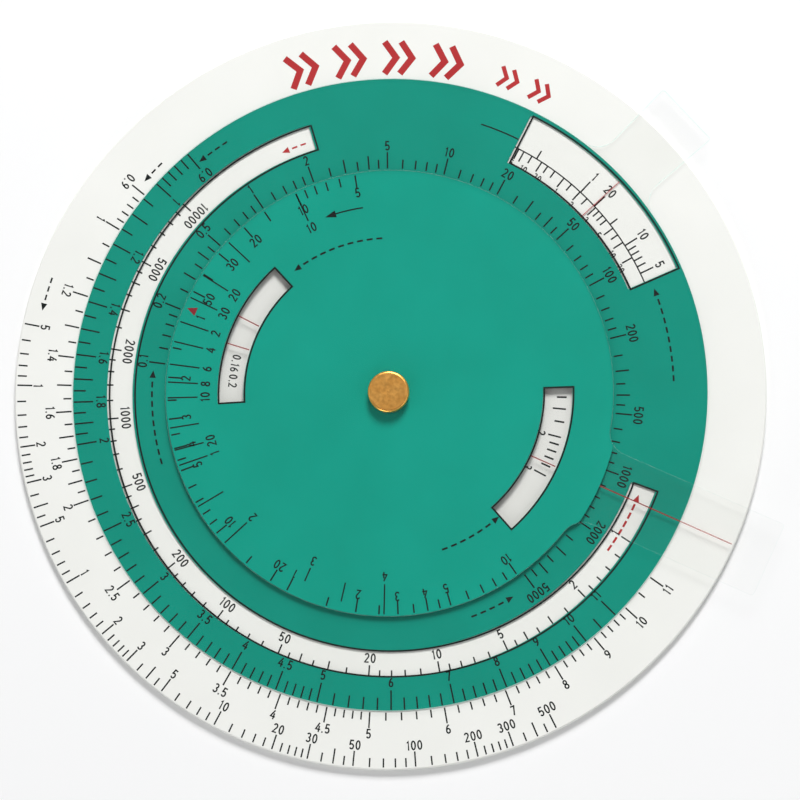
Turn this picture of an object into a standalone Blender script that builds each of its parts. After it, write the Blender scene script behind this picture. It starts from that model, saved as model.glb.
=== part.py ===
"""Circular slide rule: a white base disc and two turning clear dials on a brass pivot.

The disc lies flat. +Z is up, +Y is the top of the printed face, and the origin is on the
pivot's axis, level with the back face. All lengths are in metres.
"""
import math

import bpy

# Driving dimensions
BASE_RADIUS = 0.1000
BASE_THICKNESS = 0.0020
SHEET_THICKNESS = 0.0008
LARGE_DIAL_RADIUS = 0.0845
CURSOR_DIAL_RADIUS = 0.0596
BARREL_RADIUS = 0.0025
HEAD_RADIUS = 0.0055
HEAD_THICKNESS = 0.0018
HEAD_CHAMFER = 0.0004

# The clear tab of the large dial and the cursor arm of the small one: how far each reaches from
# the axis, its half width where it leaves the disc and at its end, and the way it points.
TAB = {"reach": 0.1085, "root_half": 0.0081, "end_half": 0.0092, "azimuth": 43.0}
ARM = {"reach": 0.1101, "root_half": 0.0102, "end_half": 0.0103, "azimuth": -24.3}
ROOT_FILLET = 0.0062
CORNER_RADIUS = 0.0008
SHEET_EDGE = 0.00018
BASE_EDGE = 0.0003

# The stack on the pivot
WASHER_THICKNESS = 0.0002
FACE_GAP = 0.0001
RUNNING_CLEARANCE = 0.00006
LARGE_WASHER_RADIUS = 0.0090
HEAD_WASHER_RADIUS = 0.0050

# The screw that closes the pivot from behind
COUNTERBORE_RADIUS = 0.0060
COUNTERBORE_DEPTH = 0.0011
SCREW_HEAD_RADIUS = 0.0054
SCREW_HEAD_THICKNESS = 0.0006
SCREW_SHANK_RADIUS = 0.0015
SCREW_SHANK_TOP = 0.0044
POST_BORE_TOP = 0.0052
DRILL_TIP = 0.0005
RIM_BREAK = 0.0001
SPANNER_HOLE_RADIUS = 0.0006
SPANNER_HOLE_OFFSET = 0.0032
SPANNER_HOLE_DEPTH = 0.0003
SPRING_INNER_RADIUS = 0.00262
SPRING_OUTER_RADIUS = 0.0052
WAVE_THICKNESS = 0.00016
WAVE_HEIGHT = 0.00005
WAVES = 3

# Facets
BASE_STEPS = 216
DIAL_ARC_STEPS = 200
FILLET_STEPS = 10
CORNER_STEPS = 4
PIVOT_STEPS = 72
MERGE = 0.000001

# Heights of the stack, from the back face up
LOWER_WASHER_Z = BASE_THICKNESS + FACE_GAP
LARGE_DIAL_Z = LOWER_WASHER_Z + WASHER_THICKNESS + FACE_GAP
MIDDLE_WASHER_Z = LARGE_DIAL_Z + SHEET_THICKNESS + FACE_GAP
CURSOR_DIAL_Z = MIDDLE_WASHER_Z + WASHER_THICKNESS + FACE_GAP
HEAD_WASHER_Z = CURSOR_DIAL_Z + SHEET_THICKNESS + FACE_GAP
HEAD_Z = HEAD_WASHER_Z + WASHER_THICKNESS + FACE_GAP
HOLE_RADIUS = BARREL_RADIUS + RUNNING_CLEARANCE
BARREL_BOTTOM = SCREW_HEAD_THICKNESS + FACE_GAP


def clear_scene():
    for item in list(bpy.data.objects):
        bpy.data.objects.remove(item, do_unlink=True)


def new_collection(name):
    collection = bpy.data.collections.new(name)
    bpy.context.scene.collection.children.link(collection)
    return collection


def make_material(name, colour, roughness, metallic=0.0, alpha=1.0):
    material = bpy.data.materials.new(name)
    material.use_nodes = True
    shader = material.node_tree.nodes["Principled BSDF"]
    shader.inputs["Base Color"].default_value = (*colour, 1.0)
    shader.inputs["Roughness"].default_value = roughness
    shader.inputs["Metallic"].default_value = metallic
    shader.inputs["Alpha"].default_value = alpha
    return material


def shade_round(mesh, angle=30.0):
    mesh.shade_smooth()
    mesh.set_sharp_from_angle(angle=math.radians(angle))


def turned(name, profile, closed, steps, material, collection):
    """A turned piece: its (radius, height) profile runs down its outer side, and is spun round Z."""
    count = len(profile)
    edges = [(i, i + 1) for i in range(count - 1)]
    if closed:
        edges.append((count - 1, 0))
    mesh = bpy.data.meshes.new(name)
    mesh.from_pydata([(radius, 0.0, height) for radius, height in profile], edges, [])
    piece = bpy.data.objects.new(name, mesh)
    collection.objects.link(piece)
    spin = piece.modifiers.new("spin", "SCREW")
    spin.angle = 2.0 * math.pi
    spin.steps = steps
    spin.render_steps = steps
    spin.use_merge_vertices = True
    spin.merge_threshold = MERGE
    spin.use_smooth_shade = False
    mesh.materials.append(material)
    return piece


def as_mesh(piece):
    """Replace a piece by its evaluated mesh, so that it can be shaped further."""
    graph = bpy.context.evaluated_depsgraph_get()
    mesh = bpy.data.meshes.new_from_object(piece.evaluated_get(graph))
    mesh.name = piece.name
    piece.modifiers.clear()
    piece.data = mesh
    return mesh


def ring_profile(inner, outer, low, high):
    return [(inner, high), (outer, high), (outer, low), (inner, low)]


def arc(centre, radius, start, end, steps):
    """Points of an arc about centre, from one angle to another, in radians, both ends included."""
    angles = [start + (end - start) * i / steps for i in range(steps + 1)]
    return [(centre[0] + radius * math.cos(a), centre[1] + radius * math.sin(a)) for a in angles]


def half_outline(radius, reach, root_half, end_half):
    """The upper half of a dial with its arm along +X, from the arm's end round to the far side.

    The arm's edge is straight, with a rounded corner at its end and a fillet into the disc.
    """
    slope = math.atan2(end_half - root_half, reach - radius)
    along = (math.cos(slope), math.sin(slope))
    outward = (-along[1], along[0])

    corner_x = reach - CORNER_RADIUS
    corner_y = end_half - CORNER_RADIUS * (1.0 + along[1]) / along[0]
    corner = arc((corner_x, corner_y), CORNER_RADIUS, 0.0, math.pi / 2 + slope, CORNER_STEPS)

    offset_x = reach + ROOT_FILLET * outward[0]
    offset_y = end_half + ROOT_FILLET * outward[1]
    projected = offset_x * along[0] + offset_y * along[1]
    beyond = offset_x ** 2 + offset_y ** 2 - (radius + ROOT_FILLET) ** 2
    travel = -projected + math.sqrt(projected ** 2 - beyond)
    centre = (offset_x + travel * along[0], offset_y + travel * along[1])
    leave = math.atan2(centre[1], centre[0])
    fillet = arc(centre, ROOT_FILLET, slope - math.pi / 2, leave - math.pi, FILLET_STEPS)

    rim = arc((0.0, 0.0), radius, leave, math.pi, DIAL_ARC_STEPS // 2)
    return corner + fillet + rim[1:]


def dial(name, radius, arm, height, material, collection):
    """A clear sheet: a disc with an arm, and the pivot's hole, turned to the way the arm points."""
    upper = half_outline(radius, arm["reach"], arm["root_half"], arm["end_half"])
    lower = [(x, -y) for x, y in reversed(upper[:-1])]
    hole = arc((0.0, 0.0), HOLE_RADIUS, 0.0, 2.0 * math.pi, PIVOT_STEPS)[:-1]

    curve = bpy.data.curves.new(name, "CURVE")
    curve.dimensions = "2D"
    curve.fill_mode = "BOTH"
    curve.extrude = SHEET_THICKNESS / 2
    for outline in (upper + lower, hole):
        spline = curve.splines.new("POLY")
        spline.points.add(len(outline) - 1)
        spline.use_cyclic_u = True
        for point, (x, y) in zip(spline.points, outline):
            point.co = (x, y, 0.0, 1.0)
    curve.materials.append(material)

    piece = bpy.data.objects.new(name, curve)
    collection.objects.link(piece)
    piece.location.z = height + SHEET_THICKNESS / 2
    piece.rotation_euler.z = math.radians(arm["azimuth"])
    weld = piece.modifiers.new("close", "WELD")
    weld.merge_threshold = MERGE
    bevel = piece.modifiers.new("cut edge", "BEVEL")
    bevel.width = SHEET_EDGE
    bevel.segments = 1
    bevel.limit_method = "ANGLE"
    bevel.angle_limit = math.radians(60)
    return piece


def base_disc(material, collection):
    profile = [
        (HOLE_RADIUS, BASE_THICKNESS),
        (BASE_RADIUS - BASE_EDGE, BASE_THICKNESS),
        (BASE_RADIUS, BASE_THICKNESS - BASE_EDGE),
        (BASE_RADIUS, BASE_EDGE),
        (BASE_RADIUS - BASE_EDGE, 0.0),
        (COUNTERBORE_RADIUS, 0.0),
        (COUNTERBORE_RADIUS, COUNTERBORE_DEPTH),
        (HOLE_RADIUS, COUNTERBORE_DEPTH),
    ]
    piece = turned("base_disc", profile, True, BASE_STEPS, material, collection)
    shade_round(as_mesh(piece))
    return piece


def pivot_post(material, collection):
    """The brass head with its chamfered rim, and the hollow barrel that the dials turn on."""
    head_top = HEAD_Z + HEAD_THICKNESS
    bore = SCREW_SHANK_RADIUS + RUNNING_CLEARANCE
    profile = [
        (0.0, head_top),
        (HEAD_RADIUS - HEAD_CHAMFER, head_top),
        (HEAD_RADIUS, head_top - HEAD_CHAMFER),
        (HEAD_RADIUS, HEAD_Z + RIM_BREAK),
        (HEAD_RADIUS - RIM_BREAK, HEAD_Z),
        (BARREL_RADIUS, HEAD_Z),
        (BARREL_RADIUS, BARREL_BOTTOM),
        (bore, BARREL_BOTTOM),
        (bore, POST_BORE_TOP),
        (0.0, POST_BORE_TOP + DRILL_TIP),
    ]
    piece = turned("pivot_post", profile, False, PIVOT_STEPS, material, collection)
    shade_round(as_mesh(piece))
    return piece


def pivot_screw(material, collection, cutters):
    """The screw from behind: a flat head with two blind holes for a pin spanner, and its shank."""
    profile = [
        (0.0, SCREW_SHANK_TOP),
        (SCREW_SHANK_RADIUS - RIM_BREAK, SCREW_SHANK_TOP),
        (SCREW_SHANK_RADIUS, SCREW_SHANK_TOP - RIM_BREAK),
        (SCREW_SHANK_RADIUS, SCREW_HEAD_THICKNESS),
        (SCREW_HEAD_RADIUS - RIM_BREAK, SCREW_HEAD_THICKNESS),
        (SCREW_HEAD_RADIUS, SCREW_HEAD_THICKNESS - RIM_BREAK),
        (SCREW_HEAD_RADIUS, RIM_BREAK),
        (SCREW_HEAD_RADIUS - RIM_BREAK, 0.0),
        (0.0, 0.0),
    ]
    piece = turned("pivot_screw", profile, False, PIVOT_STEPS, material, collection)
    as_mesh(piece)
    for side in (-1, 1):
        bpy.ops.mesh.primitive_cylinder_add(
            vertices=20,
            radius=SPANNER_HOLE_RADIUS,
            depth=2 * SPANNER_HOLE_DEPTH,
            location=(side * SPANNER_HOLE_OFFSET, 0.0, 0.0),
        )
        cutter = bpy.context.active_object
        cutter.name = f"spanner_hole_cutter_{'left' if side < 0 else 'right'}"
        for owner in list(cutter.users_collection):
            owner.objects.unlink(cutter)
        cutters.objects.link(cutter)
        cutter.hide_render = True
        cutter.display_type = "WIRE"
        cut = piece.modifiers.new("spanner hole", "BOOLEAN")
        cut.operation = "DIFFERENCE"
        cut.solver = "EXACT"
        cut.object = cutter
    return piece


def washer(name, outer, low, material, collection):
    profile = ring_profile(HOLE_RADIUS, outer, low, low + WASHER_THICKNESS)
    piece = turned(name, profile, True, PIVOT_STEPS, material, collection)
    shade_round(as_mesh(piece))
    return piece


def spring_washer(material, collection):
    """A thin ring bent into waves, between the screw's head and the floor of the counterbore."""
    middle = (SCREW_HEAD_THICKNESS + COUNTERBORE_DEPTH) / 2
    low, high = middle - WAVE_THICKNESS / 2, middle + WAVE_THICKNESS / 2
    profile = ring_profile(SPRING_INNER_RADIUS, SPRING_OUTER_RADIUS, low, high)
    piece = turned("spring_washer", profile, True, PIVOT_STEPS, material, collection)
    mesh = as_mesh(piece)
    for vertex in mesh.vertices:
        angle = math.atan2(vertex.co.y, vertex.co.x)
        vertex.co.z += WAVE_HEIGHT * math.cos(WAVES * angle)
    shade_round(mesh)
    return piece


def build():
    clear_scene()
    parts = new_collection("slide_rule")
    cutters = new_collection("cutters")

    white = make_material("white_plastic", (0.86, 0.86, 0.83), 0.38)
    clear = make_material("clear_plastic", (0.80, 0.83, 0.82), 0.12, alpha=0.35)
    brass = make_material("brass", (0.60, 0.35, 0.09), 0.28, metallic=1.0)
    nylon = make_material("washer_nylon", (0.78, 0.77, 0.70), 0.55)
    steel = make_material("spring_steel", (0.55, 0.55, 0.56), 0.30, metallic=1.0)

    base_disc(white, parts)
    dial("large_dial", LARGE_DIAL_RADIUS, TAB, LARGE_DIAL_Z, clear, parts)
    dial("cursor_dial", CURSOR_DIAL_RADIUS, ARM, CURSOR_DIAL_Z, clear, parts)
    pivot_post(brass, parts)
    pivot_screw(brass, parts, cutters)
    spring_washer(steel, parts)
    washer("lower_friction_washer", LARGE_WASHER_RADIUS, LOWER_WASHER_Z, nylon, parts)
    washer("middle_friction_washer", LARGE_WASHER_RADIUS, MIDDLE_WASHER_Z, nylon, parts)
    washer("head_washer", HEAD_WASHER_RADIUS, HEAD_WASHER_Z, nylon, parts)


build()
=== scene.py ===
"""Looks of the circular slide rule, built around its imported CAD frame.

The CAD nodes keep their places. This script gives them their materials and adds what is printed
on them: the green inks with their windows, the scales, the numerals and the red hairlines. All
print is thin real geometry on the face that carries it. Radii below are in millimetres, angles
in degrees counter-clockwise from +X, and everything else is in metres.
"""
import math

import bmesh
import bpy
from mathutils import Matrix, Vector


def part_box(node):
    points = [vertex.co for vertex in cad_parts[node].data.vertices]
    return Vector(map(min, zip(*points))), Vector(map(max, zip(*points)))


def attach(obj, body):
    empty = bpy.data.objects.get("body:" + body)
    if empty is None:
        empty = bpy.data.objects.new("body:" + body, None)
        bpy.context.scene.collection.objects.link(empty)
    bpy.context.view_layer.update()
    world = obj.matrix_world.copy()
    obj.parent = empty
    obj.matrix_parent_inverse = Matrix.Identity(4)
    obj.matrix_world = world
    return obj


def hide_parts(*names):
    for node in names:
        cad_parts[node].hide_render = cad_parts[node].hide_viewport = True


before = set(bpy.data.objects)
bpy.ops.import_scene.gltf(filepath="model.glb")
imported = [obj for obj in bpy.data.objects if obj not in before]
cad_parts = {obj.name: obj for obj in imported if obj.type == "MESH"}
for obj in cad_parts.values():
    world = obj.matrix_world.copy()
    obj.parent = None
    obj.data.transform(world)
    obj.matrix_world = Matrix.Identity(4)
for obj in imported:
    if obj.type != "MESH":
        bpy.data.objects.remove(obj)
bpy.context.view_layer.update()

MM = 0.001
FULL_TURN = 360.0

# Heights of the printed layers
INK = 0.000010
INK_GAP = 0.000010
BASE_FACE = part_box("base_disc")[1].z
LARGE_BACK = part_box("large_dial")[0].z
CURSOR_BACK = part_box("cursor_dial")[0].z

# Line widths and numeral heights, in millimetres
TICK_WIDTH = 0.40
LINE_WIDTH = 0.36
FRAME_WIDTH = 0.46
HAIRLINE_WIDTH = 0.28
NUMERAL_HEIGHT = 2.55
STROKE_SHARE = 0.150
STROKE_LIFT = 0.0000008

# How the cursor dial's arm stands at rest, in degrees
ARM_ANGLE = -24.3

# Radii of the green inks, and the foot of the arm that the upper one runs into
LARGE_PRINT_OUTER = 84.40
LARGE_PRINT_INNER = 52.0
CURSOR_PRINT_OUTER = 59.45
CURSOR_PRINT_BLEED = 61.20
CURSOR_PRINT_INNER = 3.0
ARM_HALF_WIDTH = 10.2
ARM_FILLET = 6.2

# The cursor dial's time scales: radii of ticks, lines and numerals, and the ticks' lengths
CURSOR_SCALE = 59.0
CURSOR_TICKS = (-2.4, -3.0, -3.5)
CURSOR_NUMERALS = 54.3
CURSOR_LINE_END = 51.0
CURSOR_LINE_NUMERALS = 49.0

# Windows in the green inks: inner radius, outer radius, first and last angle
WINDOW_DOSE = (68.5, 75.3, 106.7, 339.3)
WINDOW_STAY = (69.1, 83.1, 23.3, 63.0)
WINDOW_FACTOR = (38.8, 45.7, 132.3, 183.1)
WINDOW_DISTANCE = (40.9, 48.7, -48.7, 1.5)
LARGE_MISREGISTER = Vector((0.00068, -0.00012, 0.0))
CURSOR_MISREGISTER = Vector((0.00030, -0.00008, 0.0))

# The turned head of the pivot, in millimetres
HEAD_RIM = 0.60
GROOVE_PITCH = 0.17
GROOVE_DEPTH = 0.030
BARREL_RADIUS = 2.5
BORE_RADIUS = 1.56
BORE_TOP = 5.2
HEAD_STEPS = 96
RIM_STEPS = 6

# Clear sheet: what it passes, and how frosted its broken edges and its cut walls are. The frost is
# tinted pale aqua as a painted glow of light piped through the sheet.
SHEET_TINT_DARK = (0.995, 0.996, 0.994)
SHEET_TINT_LIGHT = (0.999, 0.999, 0.998)
# Pale aqua colour of the frosted edges: partly their real frost, partly a painted glow of light
# piped through the sheet from the green ink
EDGE_GLOW_TINT = (0.62, 0.97, 0.88, 1.0)
EDGE_FROST_AND_GLOW = 0.92
WALL_FROST_AND_GLOW = 0.12
MIRROR_HEAD_ON = 0.020
MIRROR_SLANTED = 0.75

# Floor, lamps (place, size, power), room and camera
FLOOR_SIZE = 6.0
FLOOR_LIFT = 0.00005
FLOOR_TONE = (0.91, 0.91, 0.91, 1.0)
LAMPS = {
    "key": ((0.28, 1.57, 1.38), 0.85, 44.5),
    "fill_left": ((-1.20, 0.10, 1.20), 1.0, 2.0),
    "fill_right": ((1.20, -0.70, 1.00), 1.0, 3.5),
    "fill_front": ((-0.50, -1.40, 0.42), 0.8, 7.0),
    "fill_top": ((0.0, 0.0, 2.60), 2.4, 3.0),
}
ROOM_TINT = (0.97, 0.98, 1.0, 1.0)
ROOM_AT_HORIZON = 0.45
ROOM_AT_ZENITH = 0.10
CAMERA_TARGET = Vector((0.00267, -0.00156, 0.0))
CAMERA_DISTANCE = 1.90
CAMERA_TIP = math.radians(7.6)
CAMERA_BEARING = math.radians(-60.0)
FRAME_SPAN = 0.21255
SENSOR = 36.0


def polar(radius, angle, z=0.0):
    """A point from a radius in millimetres and an angle in degrees."""
    turn = math.radians(angle)
    return Vector((radius * MM * math.cos(turn), radius * MM * math.sin(turn), z))


def arc_angles(start, end, step=1.5):
    count = max(1, math.ceil(abs(end - start) / step))
    return [start + (end - start) * i / count for i in range(count + 1)]


def bow(x, y, wide, tall, start, end):
    """Points of an oval arc in a numeral's box, which is one high."""
    return [(x + wide * math.cos(math.radians(a)), y + tall * math.sin(math.radians(a)))
            for a in arc_angles(start, end, 25.0)]


# The centre lines of the numerals' strokes, and how wide each numeral and its place in a row are
STROKES = {
    "0": [bow(0.26, 0.50, 0.19, 0.435, 0.0, 360.0)],
    "1": [[(0.06, 0.76), (0.20, 0.93), (0.20, 0.0)]],
    "2": [bow(0.26, 0.71, 0.18, 0.225, 165.0, -35.0) + [(0.07, 0.065), (0.48, 0.065)]],
    "3": [bow(0.25, 0.725, 0.17, 0.21, 155.0, -90.0), bow(0.25, 0.285, 0.19, 0.22, 90.0, -155.0)],
    "4": [[(0.36, 0.97), (0.05, 0.29), (0.52, 0.29)], [(0.37, 0.66), (0.37, 0.0)]],
    "5": [[(0.45, 0.935), (0.13, 0.935), (0.09, 0.52)]
          + bow(0.26, 0.32, 0.19, 0.255, 125.0, -150.0)],
    "6": [bow(0.26, 0.30, 0.18, 0.235, 0.0, 360.0), bow(0.50, 0.36, 0.41, 0.58, 105.0, 172.0)],
    "7": [[(0.06, 0.935), (0.46, 0.935), (0.20, 0.0)]],
    "8": [bow(0.26, 0.735, 0.155, 0.20, 0.0, 360.0), bow(0.26, 0.28, 0.19, 0.215, 0.0, 360.0)],
    "9": [bow(0.26, 0.70, 0.18, 0.235, 0.0, 360.0), bow(0.02, 0.64, 0.41, 0.58, -75.0, -8.0)],
    ".": [[(0.03, 0.065), (0.17, 0.065)]],
}
MARK_WIDTH = {mark: 0.52 for mark in STROKES} | {"1": 0.30, ".": 0.20}
ADVANCE = {mark: 0.66 for mark in STROKES} | {"1": 0.48, ".": 0.32}


class Print:
    """One colour of ink on one face: thin shapes between two heights, gathered into one mesh."""

    def __init__(self, name, low):
        self.name = name
        self.low = low
        self.high = low + INK
        self.mesh = bmesh.new()

    def loft(self, inner, outer, closed, lift=0.0):
        """A flat band between two rows of points, as thick as the ink.

        Bands that cross are lifted a little above one another.
        """
        low, high = self.low + lift, self.high + lift
        rows = []
        for a, b in zip(inner, outer):
            corners = [(a, low), (b, low), (b, high), (a, high)]
            rows.append([self.mesh.verts.new((p.x, p.y, z)) for p, z in corners])
        pairs = list(zip(rows, rows[1:]))
        if closed:
            pairs.append((rows[-1], rows[0]))
        for here, there in pairs:
            for i in range(4):
                j = (i + 1) % 4
                self.mesh.faces.new((here[i], here[j], there[j], there[i]))
        if not closed:
            self.mesh.faces.new(reversed(rows[0]))
            self.mesh.faces.new(rows[-1])

    def tick(self, angle, start, end, width=TICK_WIDTH):
        """A radial line."""
        side = polar(width / 2, angle + 90.0)
        near, far = polar(start, angle), polar(end, angle)
        self.loft([near - side, far - side], [near + side, far + side], False)

    def stroke(self, points, width, lift=0.0):
        """A line of even width through several points, closed where the last meets the first."""
        closed = (points[0] - points[-1]).length < 1e-7
        points = points[:-1] if closed else points
        count = len(points)
        sides = ([], [])
        for i, point in enumerate(points):
            ahead = points[(i + 1) % count] - point
            behind = point - points[i - 1]
            if not closed and i == 0:
                behind = ahead
            if not closed and i == count - 1:
                ahead = behind
            ahead.normalize()
            along = (ahead + behind.normalized()).normalized()
            reach = width * MM / 2 / max(0.6, along.dot(ahead))
            out = Vector((-along.y, along.x, 0.0)) * reach
            sides[0].append(point + out)
            sides[1].append(point - out)
        self.loft(sides[0], sides[1], closed, lift)

    def arc(self, radius, start, end, width=TICK_WIDTH):
        angles = arc_angles(start, end)
        inner = [polar(radius - width / 2, a) for a in angles]
        outer = [polar(radius + width / 2, a) for a in angles]
        self.loft(inner, outer, abs(end - start) >= FULL_TURN)

    def polygon(self, points):
        """A convex patch of ink."""
        low = [self.mesh.verts.new((p.x, p.y, self.low)) for p in points]
        high = [self.mesh.verts.new((p.x, p.y, self.high)) for p in points]
        self.mesh.faces.new(reversed(low))
        self.mesh.faces.new(high)
        for i in range(len(points)):
            j = (i + 1) % len(points)
            self.mesh.faces.new((low[i], low[j], high[j], high[i]))

    def arrow_head(self, radius, angle, length, width):
        """A triangle on a circle, from its base along the circle to its tip.

        A negative length points it towards smaller angles.
        """
        tip = polar(radius, angle + math.degrees(length / radius))
        self.polygon([polar(radius - width / 2, angle), polar(radius + width / 2, angle), tip])

    def dashed_arrow(self, radius, start, end, dash=1.5, gap=0.9, width=0.45):
        """A row of dashes along a circle with a small arrow head at its end."""
        way = 1.0 if end > start else -1.0
        step = math.degrees((dash + gap) / radius)
        count = max(1, round(abs(end - start) / step))
        for i in range(count):
            here = start + way * step * i
            self.arc(radius, here, here + way * math.degrees(dash / radius), width)
        self.arrow_head(radius, start + way * step * count, way * 2.0, 1.7)

    def chevron(self, radius, angle, height, width):
        """A bold angle mark that points clockwise along a circle."""
        out = polar(1.0, angle).normalized()
        along = Vector((out.y, -out.x, 0.0))
        centre = polar(radius, angle)
        deep = height * 0.36 * MM
        arms = [centre - along * deep / 2 + out * height * MM * k / 2 for k in (1.0, -1.0)]
        self.stroke([arms[0], centre + along * deep / 2, arms[1]], width)

    def window_frame(self, window, shift):
        """The outline round a window."""
        inner = [p + shift for p in sector(window, -FRAME_WIDTH / 2)]
        outer = [p + shift for p in sector(window, FRAME_WIDTH / 2)]
        self.loft(inner, outer, True)

    def numeral(self, text, radius, angle, tops_out, height=NUMERAL_HEIGHT):
        """A number along a circle, with its tops away from the centre or towards it."""
        facing = 1.0 if tops_out else -1.0
        across = -sum(ADVANCE[mark] for mark in text) / 2
        for mark in text:
            advance = ADVANCE[mark]
            turn = angle - facing * math.degrees((across + advance / 2) * height / radius)
            up = polar(1.0, turn).normalized() * facing
            right = Vector((up.y, -up.x, 0.0))
            corner = polar(radius, turn) - (right * MARK_WIDTH[mark] + up) * height * MM / 2
            for order, path in enumerate(STROKES[mark]):
                points = [corner + (right * x + up * y) * height * MM for x, y in path]
                self.stroke(points, STROKE_SHARE * height, order * STROKE_LIFT)
            across += advance

    def finish(self, material, body):
        bmesh.ops.recalc_face_normals(self.mesh, faces=self.mesh.faces)
        mesh = bpy.data.meshes.new(self.name)
        self.mesh.to_mesh(mesh)
        self.mesh.free()
        return add_piece(self.name, mesh, material, body)


def add_piece(name, mesh, material, body):
    piece = bpy.data.objects.new(name, mesh)
    bpy.context.scene.collection.objects.link(piece)
    mesh.materials.append(material)
    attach(piece, body)
    return piece


def sector(window, margin=0.0):
    """The outline of a window: a stretch of ring, grown by a margin on all sides."""
    inner, outer, start, end = window
    steps = len(arc_angles(start, end)) - 1
    sides = []
    for radius in (inner - margin, outer + margin):
        pad = math.degrees(margin / radius)
        first, last = start - pad, end + pad
        sides.append([polar(radius, first + (last - first) * i / steps) for i in range(steps + 1)])
    return sides[0] + sides[1][::-1]


def green_layer(name, outline, holes, low, material, body):
    """A flat sheet of ink with openings, made as a filled outline."""
    curve = bpy.data.curves.new(name, "CURVE")
    curve.dimensions = "2D"
    curve.fill_mode = "BOTH"
    curve.extrude = INK / 2
    for points in [outline, *holes]:
        spline = curve.splines.new("POLY")
        spline.points.add(len(points) - 1)
        spline.use_cyclic_u = True
        for point, place in zip(spline.points, points):
            point.co = (place.x, place.y, 0.0, 1.0)
    maker = bpy.data.objects.new(name, curve)
    bpy.context.scene.collection.objects.link(maker)
    graph = bpy.context.evaluated_depsgraph_get()
    mesh = bpy.data.meshes.new_from_object(maker.evaluated_get(graph))
    bpy.data.objects.remove(maker)
    mesh.transform(Matrix.Translation((0.0, 0.0, low + INK / 2)))
    shape = bmesh.new()
    shape.from_mesh(mesh)
    bmesh.ops.remove_doubles(shape, verts=shape.verts, dist=1e-7)
    bmesh.ops.recalc_face_normals(shape, faces=shape.faces)
    shape.to_mesh(mesh)
    shape.free()
    mesh.materials.clear()
    return add_piece(name, mesh, material, body)


def circle(radius, step=1.0):
    return [polar(radius, a) for a in arc_angles(0.0, FULL_TURN, step)[:-1]]


def cursor_print_radius(angle):
    """How far the cursor dial's green reaches: the disc's rim, and a little way into the arm."""
    offset = abs((angle - ARM_ANGLE + 180.0) % FULL_TURN - 180.0)
    centre = CURSOR_PRINT_OUTER + ARM_FILLET
    reach = math.degrees(math.asin((ARM_HALF_WIDTH + ARM_FILLET) / centre))
    if offset >= reach:
        return CURSOR_PRINT_OUTER
    swing = math.radians(reach - offset)
    inside = ARM_FILLET ** 2 - (centre * math.sin(swing)) ** 2
    if inside <= 0.0:
        return CURSOR_PRINT_BLEED
    return min(CURSOR_PRINT_BLEED, centre * math.cos(swing) - math.sqrt(inside))


# ---------------------------------------------------------------- scales

def graduations(stretches):
    """The values from one number to the next in even steps, for several stretches in a row."""
    values = []
    for start, end, step in stretches:
        count = round((end - start) / step)
        values += [round(start + step * i, 6) for i in range(count)]
    values.append(round(stretches[-1][1], 6))
    return values


def plain(value):
    return f"{value:g}"


def decade_marks(low, high, stretches):
    """The marks of a logarithmic scale, with the same divisions in each decade."""
    values = []
    power = 10.0 ** math.floor(math.log10(low) + 1e-9)
    while power <= high:
        values += [v * power for v in graduations(stretches)[:-1]]
        power *= 10.0
    return [v for v in values if low * 0.999 <= v <= high * 1.001]


def on_list(value, chosen):
    return any(abs(value - c) < 1e-6 * max(1.0, c) for c in chosen)


def draw_scale(ink, values, law, start, lengths, labels, numeral_radius, tops_out, medium=()):
    """Ticks at each value, and a number at each labelled one.

    law turns a value into an angle, start is the radius that the ticks begin at, and lengths are
    those of short, medium and long ticks, negative for ticks that point to the centre.
    """
    for value in values:
        if on_list(value, labels):
            length = lengths[2]
        elif on_list(value, medium):
            length = lengths[1]
        else:
            length = lengths[0]
        ink.tick(law(value), start, start + length)
    for value, text in labels.items():
        ink.numeral(text, numeral_radius, law(value), tops_out)


def yield_law(value):
    return 178.29 + 31.91 * math.log10(value)


def distance_law(value):
    return 148.34 + 169.04 * math.log10(value)


def dial_distance_law(value):
    return 137.67 + 170.48 * math.log10(value)


def dose_law(value):
    return 184.80 + 47.69 * (3.0 - math.log10(value))


def dose_rate_law(value):
    return 124.05 - 48.02 * math.log10(value)


def hour_law(value):
    return 156.8 + 62.2 * math.log10(value)


def minute_law(value):
    return 156.4 + 53.3 * math.log10(value / 60.0)


DISTANCE_VALUES = graduations([(0.9, 1.0, 0.02), (1.0, 2.0, 0.05), (2.0, 5.0, 0.1),
                               (5.0, 10.0, 0.2), (10.0, 11.0, 0.5)])
DISTANCE_LABELS = {v: plain(v) for v in (0.9, 1.0, 1.2, 1.4, 1.6, 1.8, 2.0, 2.5, 3.0, 3.5, 4.0,
                                         4.5, 5.0, 6.0, 7.0, 8.0, 9.0, 10.0, 11.0)}
DISTANCE_LONG = (1.1, 1.3, 1.5, 1.7, 1.9)
FIVES = [(1.0, 2.0, 0.2), (2.0, 5.0, 0.5), (5.0, 10.0, 1.0)]


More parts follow.
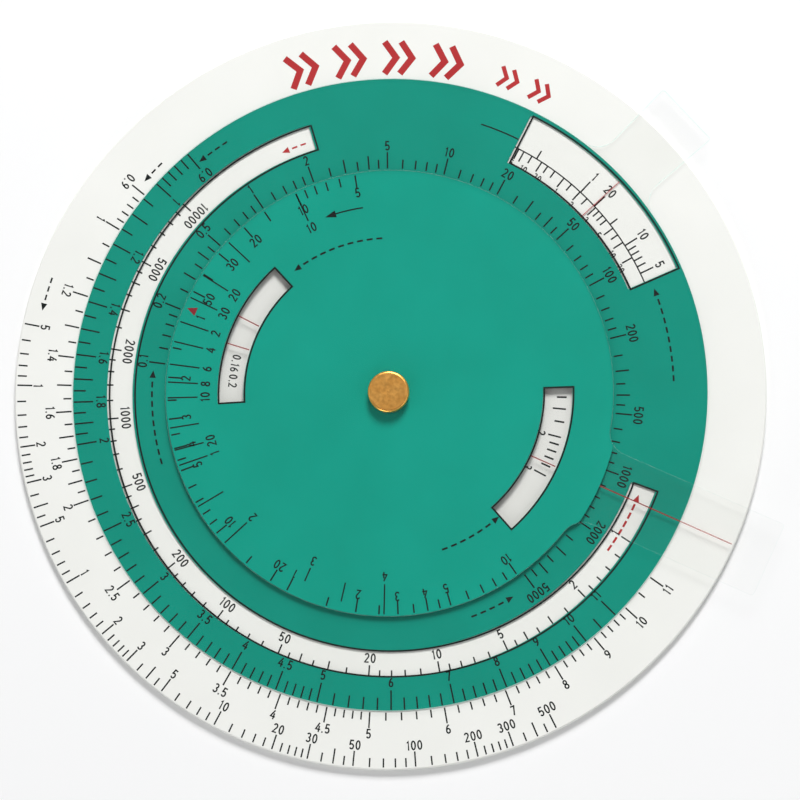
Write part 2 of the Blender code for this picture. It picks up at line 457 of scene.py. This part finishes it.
def print_base(black, red):
    """The white disc: yield and distance scales round the rim, and the scales under the windows."""
    ink = Print("base_scales", BASE_FACE + INK_GAP)
    yields = decade_marks(0.5, 5000.0, [(1.0, 3.0, 0.2), (3.0, 5.0, 0.5), (5.0, 10.0, 1.0)])
    yield_labels = {v: plain(v) for v in (1.0, 2.0, 3.0, 5.0)}
    yield_labels[0.5] = "5"
    yield_labels.update({v * 10.0: t for v, t in zip((1.0, 2.0, 3.0, 5.0), "1235")})
    yield_labels.update({v * 10.0: plain(v) for v in (10.0, 20.0, 30.0, 50.0)})
    yield_labels.update({v * 10.0: plain(v) for v in (100.0, 200.0, 300.0, 500.0)})
    fours = [4.0 * 10.0 ** k for k in range(4)]
    draw_scale(ink, yields, yield_law, 99.4, (-2.4, -4.0, -4.0), yield_labels, 93.8, False, fours)

    draw_scale(ink, DISTANCE_VALUES, distance_law, 84.9, (2.1, 3.9, 4.2), DISTANCE_LABELS,
               90.6, False, DISTANCE_LONG)

    doses = decade_marks(1.0, 10000.0, FIVES)
    dose_labels = {v * 10.0 ** k: plain(v * 10.0 ** k)
                   for k in range(4) for v in (1.0, 2.0, 5.0)}
    dose_labels[10000.0] = "10000"
    draw_scale(ink, doses, dose_law, 75.6, (-1.9, -2.7, -3.1), dose_labels, 70.6, False,
               [v * 10.0 ** k for k in range(4) for v in (3.0, 4.0)])

    print_stay_scales(ink)
    print_factor_scale(ink)
    print_distance_factor(ink)
    ink.dashed_arrow(87.2, 134.3, 137.6)
    ink.dashed_arrow(95.6, 160.6, 165.0)
    ink.finish(black, "base")

    marks = Print("base_red_marks", BASE_FACE + INK_GAP)
    for angle in (105.0, 96.8, 88.5, 80.2):
        for step in (-1.35, 1.35):
            marks.chevron(90.2, angle - step, 8.6, 1.75)
    for angle in (69.3, 63.4):
        for step in (-0.95, 0.95):
            marks.chevron(90.0, angle - step, 5.4, 1.15)
    marks.dashed_arrow(70.9, 108.4, 112.6)
    marks.dashed_arrow(71.6, -36.2, -23.4, 1.8, 0.7, 0.6)
    marks.finish(red, "base")


def print_stay_scales(ink):
    """Two scales on a shared line, under the upper right window of the large dial."""
    line = 73.8
    ink.arc(line, 20.0, 66.0, 0.34)
    for angle in (29.5, 28.2, 26.8, 30.7, 37.3, 57.9):
        ink.tick(angle, line, 76.3)
    for angle, text in ((46.4, "1"), (42.3, "20"), (31.9, "10"), (25.3, "5")):
        ink.tick(angle, line, 77.6)
        ink.numeral(text, 79.5, angle, True)
    long_ticks = (62.1, 60.9, 56.6, 50.9, 46.5, 41.9, 36.3, 32.7, 29.0)
    short_ticks = (59.0, 55.1, 53.3, 48.9, 44.5, 40.9, 39.7, 38.5, 34.6)
    for angle in long_ticks:
        ink.tick(angle, line, 70.8)
    for angle in short_ticks:
        ink.tick(angle, line, 71.6)
    for angle, text in ((62.2, "5"), (59.2, "10"), (55.6, "30"), (50.6, "1"), (46.1, "2"),
                        (41.4, "3"), (37.0, "5"), (31.8, "10"), (28.2, "20")):
        ink.numeral(text, 69.6, angle, True, 1.9)


def print_factor_scale(ink):
    """Plain numbers under the left window of the cursor dial."""
    for value in (0.16, 0.2, 0.3, 0.4, 0.5, 0.6, 0.8, 1.0):
        angle = 175.0 + 67.0 * math.log10(value / 0.2)
        ink.numeral(plain(value), 41.9, angle, False, 2.3)


def print_distance_factor(ink):
    """Ticks and numbers under the right window of the cursor dial."""
    long_ticks = {-5.6: "", -14.9: "2", -28.3: "3"}
    short_ticks = (-1.7, -9.9, -17.4, -19.9, -22.4, -25.1)
    for angle in short_ticks:
        ink.tick(angle, 47.1, 44.5, 0.46)
    for angle, text in long_ticks.items():
        ink.tick(angle, 47.1, 43.6, 0.42)
        if text:
            ink.numeral(text, 41.6, angle, True)


def print_large_dial(green, black, fine_red):
    """The large dial: green with two windows, its distance scale and its dose rate scale."""
    layer = LARGE_BACK - INK_GAP - INK
    green_layer("large_dial_green", circle(LARGE_PRINT_OUTER),
                [circle(LARGE_PRINT_INNER, 2.0), sector(WINDOW_DOSE), sector(WINDOW_STAY)],
                layer - INK_GAP - INK, green, "large_dial")

    ink = Print("large_dial_scales", layer)
    draw_scale(ink, DISTANCE_VALUES, dial_distance_law, 84.2, (-3.2, -5.0, -5.2), DISTANCE_LABELS,
               76.9, False, DISTANCE_LONG)
    rates = decade_marks(0.1, 5000.0, FIVES)
    rate_labels = {round(v * 10.0 ** k, 6): plain(round(v * 10.0 ** k, 6))
                   for k in range(-1, 4) for v in (1.0, 2.0, 5.0)}
    draw_scale(ink, rates, dose_rate_law, 60.3, (2.4, 3.6, 4.4), rate_labels, 66.4, True,
               [v * 10.0 ** k for k in range(-1, 4) for v in (3.0, 4.0)])
    for window in (WINDOW_DOSE, WINDOW_STAY):
        ink.window_frame(window, LARGE_MISREGISTER)
    ink.arc(76.0, 63.0, 71.2, LINE_WIDTH)
    ink.dashed_arrow(75.5, 2.0, 19.2, 1.6, 1.0, 0.5)
    ink.dashed_arrow(63.3, 197.0, 176.0, 1.6, 1.0, 0.5)
    ink.dashed_arrow(63.5, -70.0, -60.5, 1.6, 1.0, 0.5)
    ink.dashed_arrow(80.6, 122.6, 127.2)
    ink.finish(black, "large_dial")

    hair = Print("large_dial_hairline", layer)
    hair.tick(42.5, WINDOW_STAY[0], WINDOW_STAY[1], HAIRLINE_WIDTH)
    hair.finish(fine_red, "large_dial")


def print_cursor_dial(green, black, red, fine_red):
    """The cursor dial: green with two windows, its time scales, and the red hairline of the arm."""
    layer = CURSOR_BACK - INK_GAP - INK
    outline = [polar(cursor_print_radius(a), a) for a in arc_angles(0.0, FULL_TURN, 0.75)[:-1]]
    green_layer("cursor_dial_green", outline,
                [circle(CURSOR_PRINT_INNER, 10.0), sector(WINDOW_FACTOR), sector(WINDOW_DISTANCE)],
                layer - INK_GAP - INK, green, "cursor_dial")

    ink = Print("cursor_dial_scales", layer)
    minute_labels = {v: plain(v) for v in (5.0, 10.0, 20.0, 30.0, 50.0)}
    minutes = [5.0, 6.0, 7.0, 8.0, 9.0, 10.0, 15.0, 20.0, 30.0, 40.0, 50.0]
    draw_scale(ink, minutes, minute_law, CURSOR_SCALE, CURSOR_TICKS, minute_labels,
               CURSOR_NUMERALS, True, (15.0, 40.0))
    hours = [1.5, 2.0, 2.5, 3.0, 3.5, 4.0, 4.5, 5.0, 6.0, 7.0, 8.0, 9.0, 10.0, 15.0, 20.0, 24.0]
    hour_labels = {v: plain(v) for v in (2.0, 3.0, 4.0, 5.0, 10.0, 20.0)}
    hour_labels[24.0] = "1"
    draw_scale(ink, hours, hour_law, CURSOR_SCALE, CURSOR_TICKS, hour_labels, CURSOR_NUMERALS, True)
    days = [1.5, 2.0, 2.5, 3.0, 3.5, 4.0, 4.5, 5.0, 6.0, 7.0, 8.0, 9.0, 10.0]
    day_labels = {v: plain(v) for v in (2.0, 3.0, 4.0, 5.0, 10.0)}
    draw_scale(ink, days, lambda day: hour_law(24.0 * day), CURSOR_SCALE, CURSOR_TICKS, day_labels,
               CURSOR_NUMERALS, True)
    ink.numeral("1", CURSOR_NUMERALS, 157.9, True)

    long_lines = {115.0: "10", 147.3: "20", 153.9: "30", 160.7: "2", 166.1: "4", 172.1: "6",
                  176.8: "8", 180.9: "10", 194.7: "20", 198.8: "1", 222.3: "2", 268.7: "4"}
    for angle, text in long_lines.items():
        ink.tick(angle, CURSOR_SCALE, CURSOR_LINE_END, LINE_WIDTH)
        ink.numeral(text, CURSOR_LINE_NUMERALS, angle, True)
    for angle in (136.5, 188.8, 210.6):
        ink.tick(angle, CURSOR_SCALE, 51.2, LINE_WIDTH)
    ink.tick(245.9, 54.8, CURSOR_LINE_END, LINE_WIDTH)
    ink.numeral("3", CURSOR_LINE_NUMERALS, 245.9, True)
    ink.tick(257.1, 56.9, 51.8, LINE_WIDTH)
    ink.arc(50.1, 98.0, 106.5, LINE_WIDTH)
    ink.arrow_head(50.1, 106.5, 3.0, 1.9)
    ink.dashed_arrow(41.4, 92.5, 126.5, 1.6, 1.0, 0.5)
    ink.dashed_arrow(44.2, -71.5, -51.5, 1.6, 1.0, 0.5)
    for window in (WINDOW_FACTOR, WINDOW_DISTANCE):
        ink.window_frame(window, CURSOR_MISREGISTER)
    ink.finish(black, "cursor_dial")

    marks = Print("cursor_dial_red_mark", layer)
    marks.polygon([polar(58.6, 156.8), polar(56.0, 155.6), polar(56.0, 158.0)])
    marks.finish(red, "cursor_dial")

    hair = Print("cursor_dial_hairline", layer)
    hair.tick(ARM_ANGLE, CURSOR_PRINT_BLEED + 0.1, 99.4, HAIRLINE_WIDTH)
    hair.tick(-24.4, WINDOW_DISTANCE[0] + 0.3, WINDOW_DISTANCE[1] - 0.3, HAIRLINE_WIDTH)
    for angle in (152.5, 162.5):
        hair.tick(angle, WINDOW_FACTOR[0] + 0.3, WINDOW_FACTOR[1] - 0.3, HAIRLINE_WIDTH)
    hair.finish(fine_red, "cursor_dial")


def pivot_head(material):
    """The brass pivot with its turned face: fine grooves round the axis and a rounded rim."""
    low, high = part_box("pivot_post")
    radius, top = high.x, high.z
    rim = HEAD_RIM * MM
    profile = [(0.0, top - GROOVE_DEPTH * MM)]
    step = 0.25 * MM
    while step < radius - rim:
        profile.append((step, top))
        profile.append((step + GROOVE_PITCH * MM / 2, top - GROOVE_DEPTH * MM))
        step += GROOVE_PITCH * MM
    for i in range(RIM_STEPS + 1):
        turn = math.radians(90.0 - 90.0 * i / RIM_STEPS)
        profile.append((radius - rim + rim * math.cos(turn), top - rim + rim * math.sin(turn)))
    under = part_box("head_washer")[1].z + INK_GAP * 10
    profile += [(radius, under + 0.1 * MM), (radius - 0.1 * MM, under)]
    profile += [(BARREL_RADIUS * MM, under), (BARREL_RADIUS * MM, low.z)]
    profile += [(BORE_RADIUS * MM, low.z), (BORE_RADIUS * MM, BORE_TOP * MM)]
    profile.append((0.0, (BORE_TOP + 0.5) * MM))

    shape = bmesh.new()
    rings = []
    for r, z in profile:
        if r == 0.0:
            rings.append([shape.verts.new((0.0, 0.0, z))])
        else:
            rings.append([shape.verts.new((*polar(r / MM, FULL_TURN * k / HEAD_STEPS).xy, z))
                          for k in range(HEAD_STEPS)])
    for here, there in zip(rings, rings[1:]):
        for k in range(HEAD_STEPS):
            j = (k + 1) % HEAD_STEPS
            corners = [here[k % len(here)], here[j % len(here)], there[j % len(there)],
                       there[k % len(there)]]
            shape.faces.new(dict.fromkeys(corners))
    bmesh.ops.recalc_face_normals(shape, faces=shape.faces)
    mesh = bpy.data.meshes.new("pivot_head")
    shape.to_mesh(mesh)
    shape.free()
    mesh.shade_smooth()
    mesh.set_sharp_from_angle(angle=math.radians(50.0))
    head = add_piece("pivot_head", mesh, material, "base")
    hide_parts("pivot_post")


# ---------------------------------------------------------------- materials

class Nodes:
    """A material's node tree, with short calls to add and join nodes."""

    def __init__(self, name):
        self.material = bpy.data.materials.new(name)
        self.material.use_nodes = True
        self.tree = self.material.node_tree
        self.shader = self.tree.nodes["Principled BSDF"]
        self.output = self.tree.nodes["Material Output"]

    def add(self, kind, **values):
        node = self.tree.nodes.new(kind)
        for key, value in values.items():
            if hasattr(node, key):
                setattr(node, key, value)
            else:
                node.inputs[key.replace("_", " ")].default_value = value
        return node

    def join(self, source, target):
        self.tree.links.new(source, target)

    def set(self, **values):
        for key, value in values.items():
            self.shader.inputs[key.replace("_", " ")].default_value = value

    def noise(self, scale, detail=4.0, roughness=0.55):
        place = self.add("ShaderNodeNewGeometry")
        noise = self.add("ShaderNodeTexNoise", Scale=scale, Detail=detail, Roughness=roughness)
        self.join(place.outputs["Position"], noise.inputs["Vector"])
        return noise.outputs["Fac"]

    def ramp(self, source, low, high, start=0.3, end=0.7):
        """Values or colours between low and high, as source runs from start to end."""
        ramp = self.add("ShaderNodeValToRGB")
        first, last = ramp.color_ramp.elements
        first.position, last.position = start, end
        first.color, last.color = as_colour(low), as_colour(high)
        self.join(source, ramp.inputs["Fac"])
        return ramp.outputs["Color"]

    def math(self, operation, value, *others):
        """One sum: value comes from a node, and the other terms are numbers or sockets."""
        node = self.add("ShaderNodeMath", operation=operation)
        self.join(value, node.inputs[0])
        for i, other in enumerate(others, 1):
            if isinstance(other, float):
                node.inputs[i].default_value = other
            else:
                self.join(other, node.inputs[i])
        return node.outputs["Value"]

    def axis(self, vector, name):
        split = self.add("ShaderNodeSeparateXYZ")
        self.join(vector, split.inputs["Vector"])
        return split.outputs[name]

    def mix(self, share, first, second):
        """Two shader nodes mixed, with the second one's share from a socket."""
        node = self.add("ShaderNodeMixShader")
        self.join(share, node.inputs["Fac"])
        for i, shader in enumerate((first, second), 1):
            self.join(shader.outputs[0], node.inputs[i])
        return node

    def bump(self, height, strength, distance):
        bump = self.add("ShaderNodeBump", Strength=strength, Distance=distance)
        self.join(height, bump.inputs["Height"])
        self.join(bump.outputs["Normal"], self.shader.inputs["Normal"])
        return bump


def as_colour(value):
    if isinstance(value, (int, float)):
        return (value, value, value, 1.0)
    return (*value, 1.0)


def white_plastic():
    """Opaque white sheet, slightly warm, with a fine uneven gloss."""
    nodes = Nodes("white_plastic")
    nodes.set(IOR=1.5)
    tone = nodes.ramp(nodes.noise(28.0), (0.838, 0.842, 0.802), (0.868, 0.872, 0.834))
    nodes.join(tone, nodes.shader.inputs["Base Color"])
    gloss = nodes.ramp(nodes.noise(90.0), 0.34, 0.48)
    nodes.join(gloss, nodes.shader.inputs["Roughness"])
    nodes.bump(nodes.noise(1400.0, 2.0), 0.12, 0.00004)
    return nodes.material


def ink(name, dark, light, roughness=0.45, alpha=1.0):
    """Screen-printed ink: even, with a slight cloudiness and the grain of the mesh."""
    nodes = Nodes(name)
    nodes.set(Specular_IOR_Level=0.12, Alpha=alpha)
    tone = nodes.ramp(nodes.noise(45.0, 5.0), dark, light)
    nodes.join(tone, nodes.shader.inputs["Base Color"])
    nodes.join(nodes.ramp(nodes.noise(160.0), roughness, roughness + 0.12),
               nodes.shader.inputs["Roughness"])
    nodes.bump(nodes.noise(3500.0, 2.0), 0.15, 0.00002)
    return nodes.material


def clear_sheet():
    """Clear glossy sheet with frosted cut edges, tinted pale aqua as a painted glow.

    It passes nearly all light. Its upper face mirrors a little, and more at a slant.
    """
    nodes = Nodes("clear_plastic")
    # The edge shader is real frost with a painted glow: its aqua tint and strong frosting stand for
    # light piped through the sheet
    frost_and_glow = nodes.shader
    nodes.set(Base_Color=EDGE_GLOW_TINT)
    nodes.join(nodes.ramp(nodes.noise(700.0), 0.25, 0.45), frost_and_glow.inputs["Roughness"])
    clear = nodes.add("ShaderNodeBsdfTransparent")
    nodes.join(nodes.ramp(nodes.noise(35.0), SHEET_TINT_DARK, SHEET_TINT_LIGHT),
               clear.inputs["Color"])
    gloss = nodes.add("ShaderNodeBsdfGlossy", Color=(1.0, 1.0, 1.0, 1.0))
    nodes.join(nodes.ramp(nodes.noise(300.0, 6.0, 0.7), 0.05, 0.16), gloss.inputs["Roughness"])

    facing = nodes.add("ShaderNodeLayerWeight", Blend=0.5).outputs["Facing"]
    slant = nodes.math("MULTIPLY_ADD", nodes.math("POWER", facing, 5.0), MIRROR_SLANTED,
                       MIRROR_HEAD_ON)
    place = nodes.add("ShaderNodeTexCoord").outputs["Generated"]
    upper = nodes.math("GREATER_THAN", nodes.axis(place, "Z"), 0.5)
    mirror = nodes.mix(nodes.math("MULTIPLY", slant, upper), clear, gloss)

    normal = nodes.add("ShaderNodeNewGeometry").outputs["True Normal"]
    slope = nodes.axis(normal, "Z")
    wall = nodes.math("LESS_THAN", nodes.math("ABSOLUTE", slope), 0.9)
    broken = nodes.math("MULTIPLY", wall, nodes.math("GREATER_THAN", slope, 0.3))
    # Share of the frosted edge with its painted glow: high on the bevels, low on the walls
    frost_and_glow_share = nodes.math("MULTIPLY_ADD", broken, EDGE_FROST_AND_GLOW - WALL_FROST_AND_GLOW,
                     nodes.math("MULTIPLY", wall, WALL_FROST_AND_GLOW))
    nodes.join(nodes.mix(frost_and_glow_share, mirror, frost_and_glow).outputs["Shader"], nodes.output.inputs["Surface"])
    return nodes.material


def brass():
    """Turned brass: warm and slightly tarnished in patches, bright where the tool cut."""
    nodes = Nodes("turned_brass")
    nodes.set(Metallic=1.0)
    tone = nodes.ramp(nodes.noise(420.0), (0.91, 0.43, 0.095), (0.98, 0.51, 0.13))
    nodes.join(tone, nodes.shader.inputs["Base Color"])
    nodes.join(nodes.ramp(nodes.noise(900.0, 5.0), 0.30, 0.46), nodes.shader.inputs["Roughness"])
    nodes.bump(nodes.noise(2600.0, 3.0), 0.12, 0.00002)
    return nodes.material


def plain_piece(name, dark, light, roughness, metallic=0.0):
    nodes = Nodes(name)
    nodes.set(Metallic=metallic)
    nodes.join(nodes.ramp(nodes.noise(600.0), dark, light), nodes.shader.inputs["Base Color"])
    nodes.join(nodes.ramp(nodes.noise(1500.0), roughness, roughness + 0.15),
               nodes.shader.inputs["Roughness"])
    nodes.bump(nodes.noise(4000.0, 2.0), 0.1, 0.00002)
    return nodes.material


def dress(node, material):
    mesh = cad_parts[node].data
    mesh.materials.clear()
    mesh.materials.append(material)


# ---------------------------------------------------------------- stage, light and camera

def make_stage():
    """A pale floor. From below it is see-through, so that the back of the disc can be looked at."""
    bpy.ops.mesh.primitive_plane_add(size=FLOOR_SIZE, location=(0.0, 0.0, FLOOR_LIFT))
    floor = bpy.context.active_object
    floor.name = "floor"
    nodes = Nodes("pale_floor")
    nodes.set(Roughness=0.8, Base_Color=FLOOR_TONE, Specular_IOR_Level=0.0)
    underside = nodes.add("ShaderNodeNewGeometry").outputs["Backfacing"]
    surface = nodes.mix(underside, nodes.shader, nodes.add("ShaderNodeBsdfTransparent"))
    nodes.join(surface.outputs["Shader"], nodes.output.inputs["Surface"])
    floor.data.materials.append(nodes.material)


def add_area(name, place, size, power):
    """A round soft lamp that faces the pivot."""
    light = bpy.data.lights.new(name, "AREA")
    light.shape = "DISK"
    light.size = size
    light.energy = power
    lamp = bpy.data.objects.new(name, light)
    bpy.context.scene.collection.objects.link(lamp)
    lamp.location = place
    lamp.rotation_euler = (Vector() - Vector(place)).to_track_quat("-Z", "Y").to_euler()


def make_light():
    """A large soft lamp beyond the top of the disc, four weak fills, and a room with pale walls."""
    for name, (place, size, power) in LAMPS.items():
        add_area(name, place, size, power)
    world = bpy.data.worlds.new("soft_room")
    world.use_nodes = True
    tree = world.node_tree
    place = tree.nodes.new("ShaderNodeTexCoord")
    split = tree.nodes.new("ShaderNodeSeparateXYZ")
    walls = tree.nodes.new("ShaderNodeMapRange")
    walls.inputs["To Min"].default_value = ROOM_AT_HORIZON
    walls.inputs["To Max"].default_value = ROOM_AT_ZENITH
    tree.links.new(place.outputs["Generated"], split.inputs["Vector"])
    tree.links.new(split.outputs["Z"], walls.inputs["Value"])
    tree.links.new(walls.outputs["Result"], tree.nodes["Background"].inputs["Strength"])
    tree.nodes["Background"].inputs["Color"].default_value = ROOM_TINT
    bpy.context.scene.world = world
    bpy.context.scene.view_settings.view_transform = "Standard"


def make_camera():
    """Above the disc from well away, tipped a little towards its lower right."""
    aside = math.sin(CAMERA_TIP)
    away = Vector((aside * math.cos(CAMERA_BEARING), aside * math.sin(CAMERA_BEARING),
                   math.cos(CAMERA_TIP)))
    right = Vector((0.0, 1.0, 0.0)).cross(away).normalized()
    up = away.cross(right)
    camera = bpy.data.cameras.new("camera")
    camera.sensor_width = SENSOR
    camera.lens = SENSOR * CAMERA_DISTANCE / FRAME_SPAN
    camera.clip_start = 0.05
    camera.clip_end = 20.0
    holder = bpy.data.objects.new("camera", camera)
    bpy.context.scene.collection.objects.link(holder)
    holder.location = CAMERA_TARGET + CAMERA_DISTANCE * away
    holder.rotation_euler = Matrix((right, up, away)).transposed().to_euler()
    bpy.context.scene.camera = holder


def main():
    white = white_plastic()
    clear = clear_sheet()
    large_green = ink("green_ink_large", (0.0006, 0.258, 0.186), (0.0012, 0.284, 0.208))
    cursor_green = ink("green_ink_cursor", (0.0006, 0.306, 0.222), (0.0012, 0.334, 0.246))
    black = ink("black_ink", (0.004, 0.006, 0.006), (0.012, 0.016, 0.015))
    red = ink("red_ink", (0.41, 0.028, 0.031), (0.47, 0.038, 0.041))
    fine_red = ink("fine_red_ink", (0.44, 0.030, 0.035), (0.52, 0.040, 0.045), 0.45, 0.52)
    dark_red = ink("dark_red_ink", (0.22, 0.018, 0.026), (0.27, 0.026, 0.034))
    metal = brass()
    nylon = plain_piece("washer_nylon", (0.70, 0.68, 0.60), (0.80, 0.78, 0.70), 0.5)
    steel = plain_piece("spring_steel", (0.50, 0.50, 0.51), (0.60, 0.60, 0.61), 0.25, 1.0)

    dress("base_disc", white)
    for node in ("large_dial", "cursor_dial"):
        dress(node, clear)
    for node in ("pivot_post", "pivot_screw"):
        dress(node, metal)
    for node in ("lower_friction_washer", "middle_friction_washer", "head_washer"):
        dress(node, nylon)
    dress("spring_washer", steel)
    pivot_head(metal)

    print_base(black, red)
    print_large_dial(large_green, black, fine_red)
    print_cursor_dial(cursor_green, black, dark_red, fine_red)

    make_stage()
    make_light()
    make_camera()


main()
